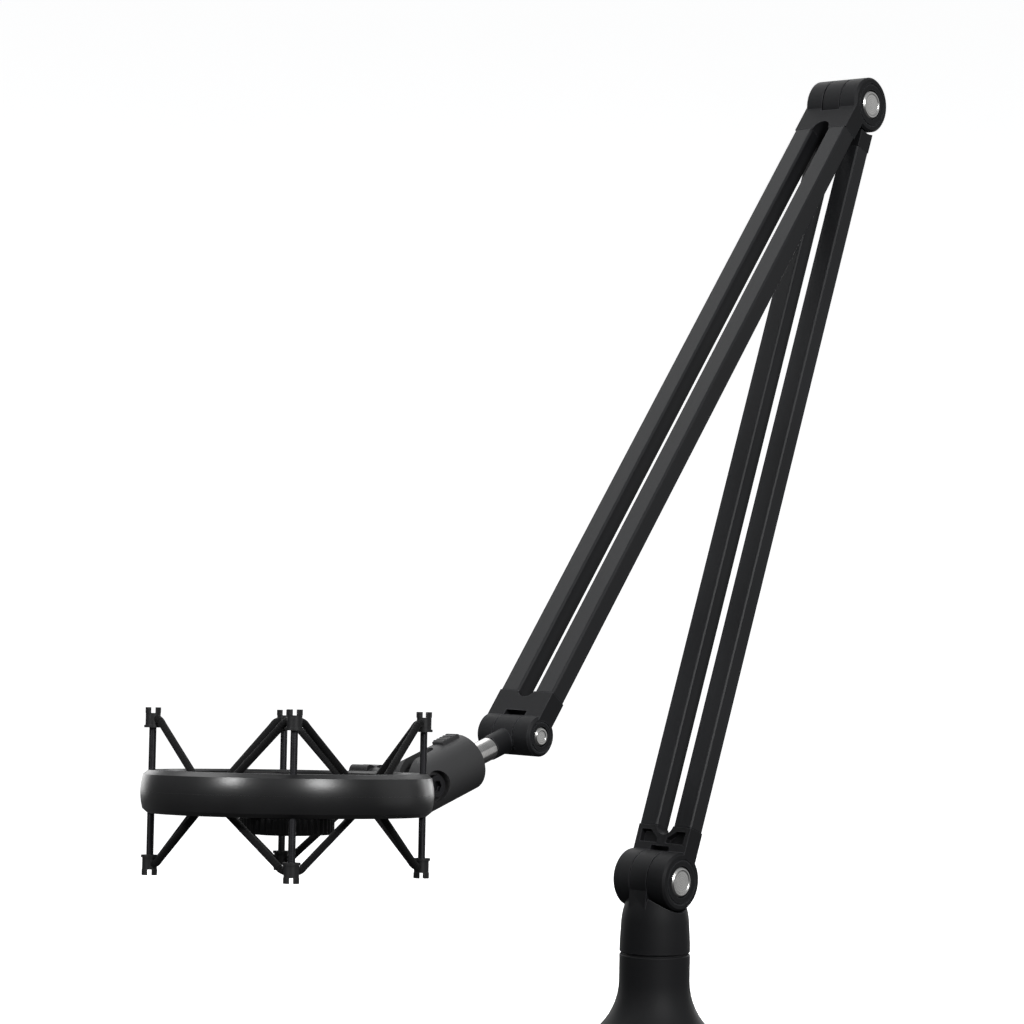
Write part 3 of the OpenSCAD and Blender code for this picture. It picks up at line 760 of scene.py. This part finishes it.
def coil(name: str, place: Matrix, radius: float, wire: float, step: float, turns: float) -> bpy.types.Mesh:
    """Helical spring along a frame's Z.

    Args:
        name: the mesh's name.
        place: frame of the spring, with its lower end at the origin.
        radius: radius of the coil's centreline.
        wire: radius of the wire.
        step: rise for each turn.
        turns: number of turns.

    Returns:
        The mesh.
    """
    points_per_turn, wire_sides = 14, 8
    count = int(turns * points_per_turn)
    path = []
    for i in range(count + 1):
        a = 2 * math.pi * turns * i / count
        path.append(place @ Vector((radius * math.cos(a), radius * math.sin(a), step * a / (2 * math.pi))))
    return tube_along(name, path, wire, wire_sides)


@dataclass
class Pieces:
    """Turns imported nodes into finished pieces."""

    made: list[str] = field(default_factory=list)

    def dress(self, node: str, material: bpy.types.Material) -> None:
        """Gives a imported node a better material, and leaves its shape alone."""
        shown = frame["nodes"][node]
        if not shown.material_slots:
            raise ValueError(f"{node} has no material slot")
        for place in shown.material_slots:
            place.material = material
        self.report(node, "dressed")

    def add(self, mesh: bpy.types.Mesh, name: str, body: str, material: bpy.types.Material,
            slot: str, stands_for: Sequence[str]) -> bpy.types.Object:
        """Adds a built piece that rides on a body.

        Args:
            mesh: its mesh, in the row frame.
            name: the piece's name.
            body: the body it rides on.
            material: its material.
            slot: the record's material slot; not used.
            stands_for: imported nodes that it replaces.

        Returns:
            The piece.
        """
        mesh.materials.clear()
        mesh.materials.append(material)
        piece = new_piece(name, mesh)
        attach(piece, body)
        self.stand_in(piece, stands_for)
        return piece

    def stand_in(self, piece: bpy.types.Object, stands_for: Sequence[str]) -> None:
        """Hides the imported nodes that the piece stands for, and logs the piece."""
        if stands_for:
            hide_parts(*stands_for)
        self.report(piece.name, "built")

    def rounded(self, node: str, body: str, width: float, material: bpy.types.Material, slot: str,
                segments: int = 2, crease: float = 30) -> None:
        """Builds a node's shape again with rounded edges.

        Args:
            node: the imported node.
            body: the body it rides on.
            width: width of the rounding, in metres.
            material: its material.
            slot: the record's material slot.
            segments: steps across the rounding.
            crease: angle in degrees above which an edge is rounded.
        """
        source = frame["nodes"][node].data
        mesh = bpy.data.meshes.new(node + "_finished")
        mesh.from_pydata([v.co[:] for v in source.vertices], [], [p.vertices[:] for p in source.polygons])
        bm = bmesh.new()
        bm.from_mesh(mesh)
        bmesh.ops.remove_doubles(bm, verts=bm.verts, dist=WELD)
        bmesh.ops.dissolve_degenerate(bm, edges=bm.edges, dist=WELD)
        bmesh.ops.dissolve_limit(bm, angle_limit=FLAT, verts=bm.verts, edges=bm.edges)
        bmesh.ops.recalc_face_normals(bm, faces=bm.faces)
        bm.to_mesh(mesh)
        bm.free()
        smooth(mesh, crease)
        piece = self.add(mesh, node + "_finished", body, material, slot, [node])
        bevel = piece.modifiers.new("rounded_edges", "BEVEL")
        bevel.width = width
        bevel.segments = segments
        bevel.limit_method = "ANGLE"
        bevel.angle_limit = math.radians(crease)
        bevel.use_clamp_overlap = True
        bevel.harden_normals = True

    def report(self, name: str, how: str) -> None:
        """Logs a piece and counts it."""
        self.made.append(name)
        log.info("%s: %s", name, how)


def turned(gloss: Gloss, centre: Vector, axis: Vector, roughness: float) -> Turned:
    """Turned finish round an axis, with its dark tone set from its bright one."""
    dark = tuple(DARK_SHARE * c for c in gloss.value)
    return Turned(gloss.value, roughness, centre=tuple(centre), axis=tuple(axis), dark=dark)


# Sub-assemblies


@dataclass
class DeskClamp:
    """Clamp with its pads, foot, screw and handle."""

    frame_round: float = 0.9 * MM
    screw_crest: float = 4.9 * MM
    thread_depth: float = 0.55 * MM
    pitch: float = 2.0 * MM
    plain_end: float = 8.0 * MM
    overlap: float = 0.5 * MM
    chamfer: float = 0.6 * MM
    bore: float = 0.5 * MM

    def build(self, pieces: Pieces) -> None:
        """Builds the clamp's pieces."""
        paint = CLAMP_PAINT.build("clamp_paint")
        rubber = BLACK_RUBBER.build("clamp_rubber")
        nylon = BLACK_NYLON.build("handle_nylon")
        pieces.rounded("clamp_frame", "clamp", self.frame_round, paint, "clamp_paint", 3)
        pieces.rounded("pressure_plate", "pressure_foot", 0.6 * MM, paint, "clamp_paint", 3)
        for node, body in (("jaw_pad", "clamp"), ("back_pad", "clamp"), ("pressure_pad", "pressure_foot")):
            pieces.rounded(node, body, 0.35 * MM, rubber, "rubber")
        pieces.rounded("clamp_handle", "screw", 0.7 * MM, nylon, "black_nylon", 3)
        self.build_screw(pieces)

    def build_screw(self, pieces: Pieces) -> None:
        """Builds the screw with a real helical thread and a plain upper end."""
        low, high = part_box("clamp_screw")
        steel = turned(Gloss.PLAIN, Vector((0, 0, low.z)), UP, 0.34).build("screw_steel")
        core = self.screw_crest - self.thread_depth
        neck = high.z - self.plain_end
        thread = threaded_rod("screw_thread", core, self.screw_crest, self.pitch, low.z, neck + self.overlap)
        pieces.add(thread, "screw_thread", "screw", steel, "steel", ["clamp_screw"])
        flat = self.screw_crest - self.chamfer
        tip = lathed(
            "screw_tip",
            [(self.bore, neck), (flat, neck), (self.screw_crest, neck + self.chamfer),
             (self.screw_crest, high.z - self.chamfer), (flat, high.z), (self.bore, high.z)],
            64, 25,
        )
        pieces.add(tip, "screw_tip", "screw", steel, "steel", [])


@dataclass
class SwivelBase:
    """Pedestal on the desk and the head that turns on it."""

    pedestal_round: float = 0.5 * MM
    head_round: float = 0.45 * MM

    def build(self, pieces: Pieces) -> None:
        """Builds the base's pieces."""
        casting = CASTING.build("base_casting")
        pieces.rounded("pedestal", "clamp", self.pedestal_round, casting, "satin_casting", 3)
        pieces.rounded("swivel_head", "head", self.head_round, casting, "satin_casting", 3)
        oxide = turned(Gloss.OXIDE, Vector((0, 0, 0)), UP, 0.4).build("base_oxide")
        steel = turned(Gloss.PLAIN, Vector((0, 0, 0)), UP, 0.3).build("post_steel")
        pieces.dress("pedestal_screws", oxide)
        pieces.dress("post_retainer", oxide)
        pieces.dress("swivel_post", steel)
        pieces.dress("swivel_washer", BLACK_NYLON.build("washer_nylon"))
        pieces.dress("post_bush", PALE_NYLON.build("bush_nylon"))


@dataclass
class ArmSection:
    """One arm: two tubes between two end castings, with springs inside."""

    name: str
    body: str
    castings: tuple[str, ...]
    bars: tuple[str, str]
    springs: str
    rods: str
    direction: Vector
    tone: float
    # Scale of the edge colour for this arm, partly edge wear and partly painted highlight; the two arms get
    # different values, which is painted light.
    edge_wear_and_highlight_tone: float
    shine: float
    coil_radius: float = 2.1 * MM
    coil_wire: float = 0.5 * MM
    coil_step: float = 3.0 * MM

    def build(self, pieces: Pieces) -> None:
        """Builds the arm's pieces."""
        casting = CASTING.build(self.name + "_casting")
        for node in self.castings:
            pieces.rounded(node, self.body, 0.4 * MM, casting, "satin_casting", 2)
        color = tuple(self.tone * c for c in TUBE_BLACK)
        edge = tuple(self.edge_wear_and_highlight_tone * c for c in TUBE_EDGE_WEAR_AND_HIGHLIGHT)
        along = tuple(self.direction)
        tube = DrawnTube(color, 0.44, self.shine, direction=along, edge_wear_and_highlight_color=edge)
        anodised = tube.build(self.name + "_anodised")
        for node in self.bars:
            pieces.rounded(node, self.body, 0.28 * MM, anodised, "anodised_tube", 2, 25)
        self.build_springs(pieces)

    def build_springs(self, pieces: Pieces) -> None:
        """Builds the two coil springs and dresses the tie rods in them."""
        low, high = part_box(self.bars[0])
        middle = (low + high) / 2
        steel = turned(Gloss.PLAIN, middle, self.direction, 0.3).build(self.name + "_spring_steel")
        pieces.dress(self.rods, steel)
        source = frame["nodes"][self.springs].data
        for side, word in ((1, "left"), (-1, "right")):
            spots = [v.co for v in source.vertices if v.co.y * side > 0]
            along = [s.dot(self.direction) for s in spots]
            centre = sum(spots, Vector()) / len(spots)
            start = centre + (min(along) - centre.dot(self.direction)) * self.direction
            length = max(along) - min(along)
            side_way = self.direction.cross(ACROSS).normalized()
            place = axes_at(start, side_way, ACROSS.copy(), self.direction)
            name = f"{self.name}_spring_{word}"
            turns = length / self.coil_step
            mesh = coil(name, place, self.coil_radius, self.coil_wire, self.coil_step, turns)
            pieces.add(mesh, name, self.body, steel, "steel", [self.springs])


@dataclass
class ArmHinge:
    """Pin, polished caps and washers of one hinge."""

    prefix: str
    joint_name: str
    body: str

    def build(self, pieces: Pieces) -> None:
        """Dresses the hinge's pieces."""
        centre = joint_place(self.joint_name)
        bright = turned(Gloss.CAP, centre, ACROSS, 0.27).build(self.prefix + "_cap_metal")
        steel = turned(Gloss.PLAIN, centre, ACROSS, 0.3).build(self.prefix + "_pin_steel")
        pieces.rounded(self.prefix + "_caps", self.body, 0.12 * MM, bright, "polished_cap", 2, 25)
        pieces.dress(self.prefix + "_pin", steel)
        pieces.dress(self.prefix + "_washers", BLACK_NYLON.build(self.prefix + "_washer_nylon"))


@dataclass
class TipSwivel:
    """Knuckle and shaft at the tip, the swivel body on it, its button and its knob."""

    body_round: float = 0.45 * MM

    def build(self, pieces: Pieces) -> None:
        """Builds the swivel's pieces."""
        tip = joint_place("tip_hinge")
        shaft = joint_axis("shaft_swivel")
        pivot = joint_place("ring_tilt")
        bolt = joint_axis("ring_tilt")
        casting = CASTING.build("tip_casting")
        plastic = BODY_PLASTIC.build("swivel_plastic")
        nylon = BLACK_NYLON.build("knob_nylon")
        bright = turned(Gloss.SHAFT, tip, shaft, 0.2).build("shaft_metal")
        oxide = turned(Gloss.OXIDE, pivot, bolt, 0.38).build("bolt_oxide")
        brass = turned(Gloss.BRASS, pivot, bolt, 0.32).build("knob_brass")
        pieces.rounded("tip_knuckle", "tip_link", 0.3 * MM, casting, "satin_casting")
        pieces.dress("swivel_shaft", bright)
        pieces.dress("shaft_clip", oxide)
        pieces.rounded("swivel_body", "swivel", self.body_round, plastic, "swivel_plastic", 3)
        pieces.rounded("pivot_bolt", "swivel", 0.2 * MM, oxide, "dark_steel")
        pieces.rounded("release_button", "button", 0.25 * MM, plastic, "swivel_plastic")
        pieces.dress("button_spring", bright)
        pieces.rounded("tilt_knob", "knob", 0.5 * MM, nylon, "black_nylon", 3)
        pieces.dress("knob_insert", brass)


@dataclass
class ShockRing:
    """Ring with its four rods and their caps."""

    outer: float = 56.7 * MM
    line_width: float = 0.35 * MM
    line_depth: float = 0.4 * MM
    line_proud: float = 0.03 * MM

    def build(self, pieces: Pieces) -> None:
        """Builds the ring's pieces."""
        plastic = RING_PLASTIC.build("ring_plastic")
        caps = FRAME_PLASTIC.build("cap_plastic")
        place = ring_axes()
        rods = turned(Gloss.OXIDE, place.translation, joint_axis("nut_turn"), 0.42)
        pieces.rounded("mount_ring", "ring", 0.5 * MM, plastic, "ring_plastic", 3)
        pieces.dress("ring_posts", rods.build("rod_oxide"))
        pieces.rounded("post_caps", "ring", 0.22 * MM, caps, "frame_plastic", 2)
        half = self.line_width / 2
        inner = self.outer - self.line_depth
        crown = self.outer + self.line_proud
        line = lathed(
            "ring_parting_line",
            [(inner, -half), (crown, -half * 0.5), (crown, half * 0.5), (inner, half)],
            192, 40,
        )
        line.transform(place)
        pieces.add(line, "ring_parting_line", "ring", plastic, "ring_plastic", [])


@dataclass
class CradleCords:
    """Elastic cords from the rod caps to the cradle's hooks, as fixed runs."""

    radius: float = 1.45 * MM
    post_circle: float = 52.4 * MM
    cap_height: float = 27.9 * MM
    shoulder: float = 3.6 * MM
    rise: float = 0.55
    lead: float = 1.2 * MM
    stretch: tuple[float, float] = (0.08, 0.94)
    seat: float = 38.8 * MM
    turn: float = 3.0
    upper_seat_height: float = 1.7 * MM
    lower_seat_height: float = 5.15 * MM
    approach_place: tuple[float, float] = (41.6 * MM, 5.4 * MM)
    turn_place: tuple[float, float] = (39.6 * MM, 3.8 * MM)

    def corners(self, post: float, side: int, up: int) -> list[Vector]:
        """Corner points of one run, in the ring's coordinates.

        Args:
            post: the rod's angle, in degrees.
            side: 1 or -1 for the hook on either side.
            up: 1 for the upper cords and -1 for the lower ones.

        Returns:
            Points from the middle of the cap to the middle of the hook.
        """
        a = math.radians(post + self.turn)
        h = math.radians(post + self.turn + 45 * side)
        out = Vector((math.cos(h), math.sin(h), 0))
        around = Vector((-math.sin(h), math.cos(h), 0)) * -side
        cap = Vector((math.cos(a), math.sin(a), 0)) * self.post_circle + UP * self.cap_height * up
        low = self.upper_seat_height if up > 0 else -self.lower_seat_height
        approach, turn = (
            out * far + around * aside + UP * low for far, aside in (self.approach_place, self.turn_place)
        )
        middle = out * self.seat + UP * low
        run = approach - cap
        level = Vector((run.x, run.y, 0)).normalized()
        top = cap + level * self.shoulder * self.rise
        bend = cap + level * self.shoulder + run.normalized() * self.lead
        start, end = (bend + (approach - bend) * share for share in self.stretch)
        return [cap, top, bend, start, bend.lerp(approach, 0.5), end, approach, turn, middle]

    def build(self, pieces: Pieces) -> None:
        """Builds the sixteen runs."""
        braid = CORD_BRAID.build("cord_braid")
        place = ring_axes()
        for up, word in ((1, "upper"), (-1, "lower")):
            for post in (45, 135, 225, 315):
                for side, hand in ((1, "a"), (-1, "b")):
                    corners = [place @ c for c in self.corners(post, side, up)]
                    name = f"cord_{word}_{post}_{hand}"
                    mesh = tube_along(name, rounded_path(corners), self.radius)
                    mesh.materials.append(braid)
                    piece = new_piece(name, mesh)
                    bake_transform(piece)
                    pieces.stand_in(piece, ["cords_" + word])


@dataclass
class Cradle:
    """Cradle inside the ring, its threaded insert, pad and ring nut."""

    def build(self, pieces: Pieces) -> None:
        """Builds the cradle's pieces."""
        plastic = FRAME_PLASTIC.build("cradle_plastic")
        rubber = BLACK_RUBBER.build("cradle_rubber")
        place = ring_axes()
        brass = turned(Gloss.BRASS, place.translation, joint_axis("nut_turn"), 0.3)
        pieces.rounded("cradle", "cradle", 0.3 * MM, plastic, "frame_plastic")
        pieces.rounded("cradle_pad", "cradle", 0.25 * MM, rubber, "rubber")
        pieces.rounded("knurled_nut", "nut", 0.16 * MM, plastic, "frame_plastic")
        pieces.dress("cradle_insert", brass.build("insert_brass"))


# Studio


@dataclass(frozen=True)
class SoftBox:
    """Square soft light, placed round the object from the camera's side."""

    turn: float
    lift: float
    size: float
    power: float


@dataclass
class Studio:
    """Pale floor that curves up all round, soft lights and the camera."""

    floor_radius: float = 4.5
    wall_radius: float = 6.0
    wall_height: float = 4.0
    floor_hole: float = 0.02
    floor_gap: float = 0.002
    floor_glow: float = 0.78
    camera_place: tuple[float, float, float] = (1.101, 0.8735, 0.2444)
    camera_bearing: float = 41.11
    roll: float = 0.86
    lens: float = 112.0
    sensor: float = 36.0
    target: tuple[float, float, float] = (0.18, 0, 0.2)
    reach: float = 1.9
    boxes: tuple[SoftBox, ...] = (
        SoftBox(-44, 24, 0.35, 15),
        SoftBox(30, 24, 0.45, 21),
        SoftBox(-122, 50, 0.8, 5.4),
        SoftBox(98, 5, 1.3, 2.4),
        SoftBox(-20, 74, 1.3, 4),
        SoftBox(-152, 5, 0.8, 4.5),
        SoftBox(152, 5, 0.8, 6),
        SoftBox(178, 38, 1.4, 12),
    )

    def build(self) -> None:
        """Builds the camera, the floor and the lights."""
        bpy.context.scene.view_settings.view_transform = "Standard"
        self.build_camera()
        self.build_floor()
        self.build_room()
        for box in self.boxes:
            self.build_light(box)

    def build_camera(self) -> None:
        """Places the camera, which looks level."""
        data = bpy.data.cameras.new("camera")
        data.lens = self.lens
        data.sensor_width = self.sensor
        data.dof.use_dof = False
        camera = bpy.data.objects.new("camera", data)
        bpy.context.scene.collection.objects.link(camera)
        bearing = math.radians(self.camera_bearing)
        right = Vector((-math.sin(bearing), math.cos(bearing), 0))
        back = right.cross(UP)
        turn = math.radians(self.roll)
        x = math.cos(turn) * right + math.sin(turn) * UP
        y = math.cos(turn) * UP - math.sin(turn) * right
        camera.matrix_world = axes_at(Vector(self.camera_place), x, y, back)
        bpy.context.scene.camera = camera

    def build_floor(self) -> None:
        """Builds the floor, just under the lowest piece. Only the camera sees its white."""
        level = CAD_BOX[0][2] - self.floor_gap
        bend = self.wall_radius - self.floor_radius
        steps = 18
        rim = [(self.floor_hole, level), (self.floor_radius, level)]
        rim += [
            (self.floor_radius + bend * math.sin(a), level + bend * (1 - math.cos(a)))
            for a in (math.radians(90 / steps * i) for i in range(1, steps + 1))
        ]
        rim += [(self.wall_radius, level + self.wall_height)]
        around = 96
        points = [
            Vector((r * math.cos(2 * math.pi * k / around), r * math.sin(2 * math.pi * k / around), z))
            for k in range(around)
            for r, z in rim
        ]
        count = len(rim)
        faces = [
            (k * count + i, (k + 1) % around * count + i, (k + 1) % around * count + i + 1, k * count + i + 1)
            for k in range(around)
            for i in range(count - 1)
        ]
        faces.append(tuple(k * count for k in range(around)))
        mesh = mesh_of("floor", points, faces, 60)
        g = Graph("floor_paper")
        tone = g.noise(3, 2)
        mesh.materials.append(g.finish(
            {
                "Base Color": g.color_mix(tone, (0.93, 0.93, 0.93), (0.96, 0.96, 0.96)),
                "Normal": g.bump(g.noise(900, 2), 0.00002),
            },
            {
                "Roughness": 0.9,
                "Specular IOR Level": 0.1,
                "Emission Color": (1, 1, 1, 1),
                "Emission Strength": self.floor_glow,
            },
        ))
        floor = new_piece("floor", mesh)
        floor.visible_glossy = False
        floor.visible_diffuse = False

    def build_room(self) -> None:
        """Lights the room softly: brightest overhead, dim at eye level and dark from below."""
        g = Graph("room", room=True)
        parts = g.node("ShaderNodeSeparateXYZ", {}, {
            "Vector": g.node("ShaderNodeTexCoord", {}, {}).outputs["Generated"],
        })
        height = Value(g, parts.outputs["Z"])
        tone = 0.14 + 0.26 * height.spread(0.05, 0.9) - 0.08 * (-1 * height).spread(0.0, 0.4)
        back = g.node("ShaderNodeBackground", {}, {"Color": (0.97, 0.985, 1.0, 1), "Strength": tone})
        g.node("ShaderNodeOutputWorld", {}, {"Surface": back.outputs["Background"]})
        bpy.context.scene.world = g.owner

    def build_light(self, box: SoftBox) -> None:
        """Adds a soft box that faces the object.

        Args:
            box: bearing from the camera in degrees, to the right, and height in degrees; size and power.
        """
        bearing = math.radians(self.camera_bearing + box.turn)
        lift = math.radians(box.lift)
        level = Vector((math.cos(bearing), math.sin(bearing), 0))
        way = math.cos(lift) * level + math.sin(lift) * UP
        data = bpy.data.lights.new("soft_box", "AREA")
        data.shape = "SQUARE"
        data.size = box.size
        data.energy = box.power
        light = bpy.data.objects.new("soft_box", data)
        bpy.context.scene.collection.objects.link(light)
        light.location = Vector(self.target) + self.reach * way
        light.rotation_euler = way.to_track_quat("Z", "Y").to_euler()


def arm_direction(low: str, high: str, shift: float, length: float) -> Vector:
    """Direction of an arm's tubes, up the arm, where the hinges are set off from them.

    Args:
        low: joint at the lower end.
        high: joint at the upper end.
        shift: how far forward the lower hinge is set, across the tubes.
        length: distance between the hinges along the tubes.

    Returns:
        The unit vector.
    """
    across = joint_place(low) - joint_place(high)
    turn = math.atan2(across.x, across.z) - math.atan2(shift, -length)
    return Vector((math.sin(turn), 0, math.cos(turn)))


def main() -> None:
    """Builds every piece in order."""
    logging.basicConfig(level=logging.INFO, format="%(name)s %(message)s")
    pieces = Pieces()
    Studio().build()
    DeskClamp().build(pieces)
    SwivelBase().build(pieces)
    lower = arm_direction("base_hinge", "elbow_hinge", 0.0, LOWER_LENGTH)
    upper = arm_direction("tip_hinge", "elbow_hinge", TIP_SHIFT, UPPER_LENGTH)
    # Both arms are the same anodised tube, but the upper arm gets half the lower arm's edge colour: lit and shaded
    # copies of one finish, painted light.
    ArmSection("lower", "lower_arm", ("base_fork", "elbow_tongue"), ("lower_bar_left", "lower_bar_right"),
               "lower_springs", "lower_tie_rods", lower, 0.75, 1.0, 0.2).build(pieces)
    ArmSection("upper", "upper_arm", ("elbow_fork", "tip_fork"), ("upper_bar_left", "upper_bar_right"),
               "upper_springs", "upper_tie_rods", upper, 0.75, 0.5, 0.25).build(pieces)
    ArmHinge("base", "base_hinge", "lower_arm").build(pieces)
    ArmHinge("elbow", "elbow_hinge", "upper_arm").build(pieces)
    ArmHinge("tip", "tip_hinge", "upper_arm").build(pieces)
    TipSwivel().build(pieces)
    ShockRing().build(pieces)
    CradleCords().build(pieces)
    Cradle().build(pieces)
    log.info("%d pieces", len(pieces.made))


if __name__ == "__main__":
    main()
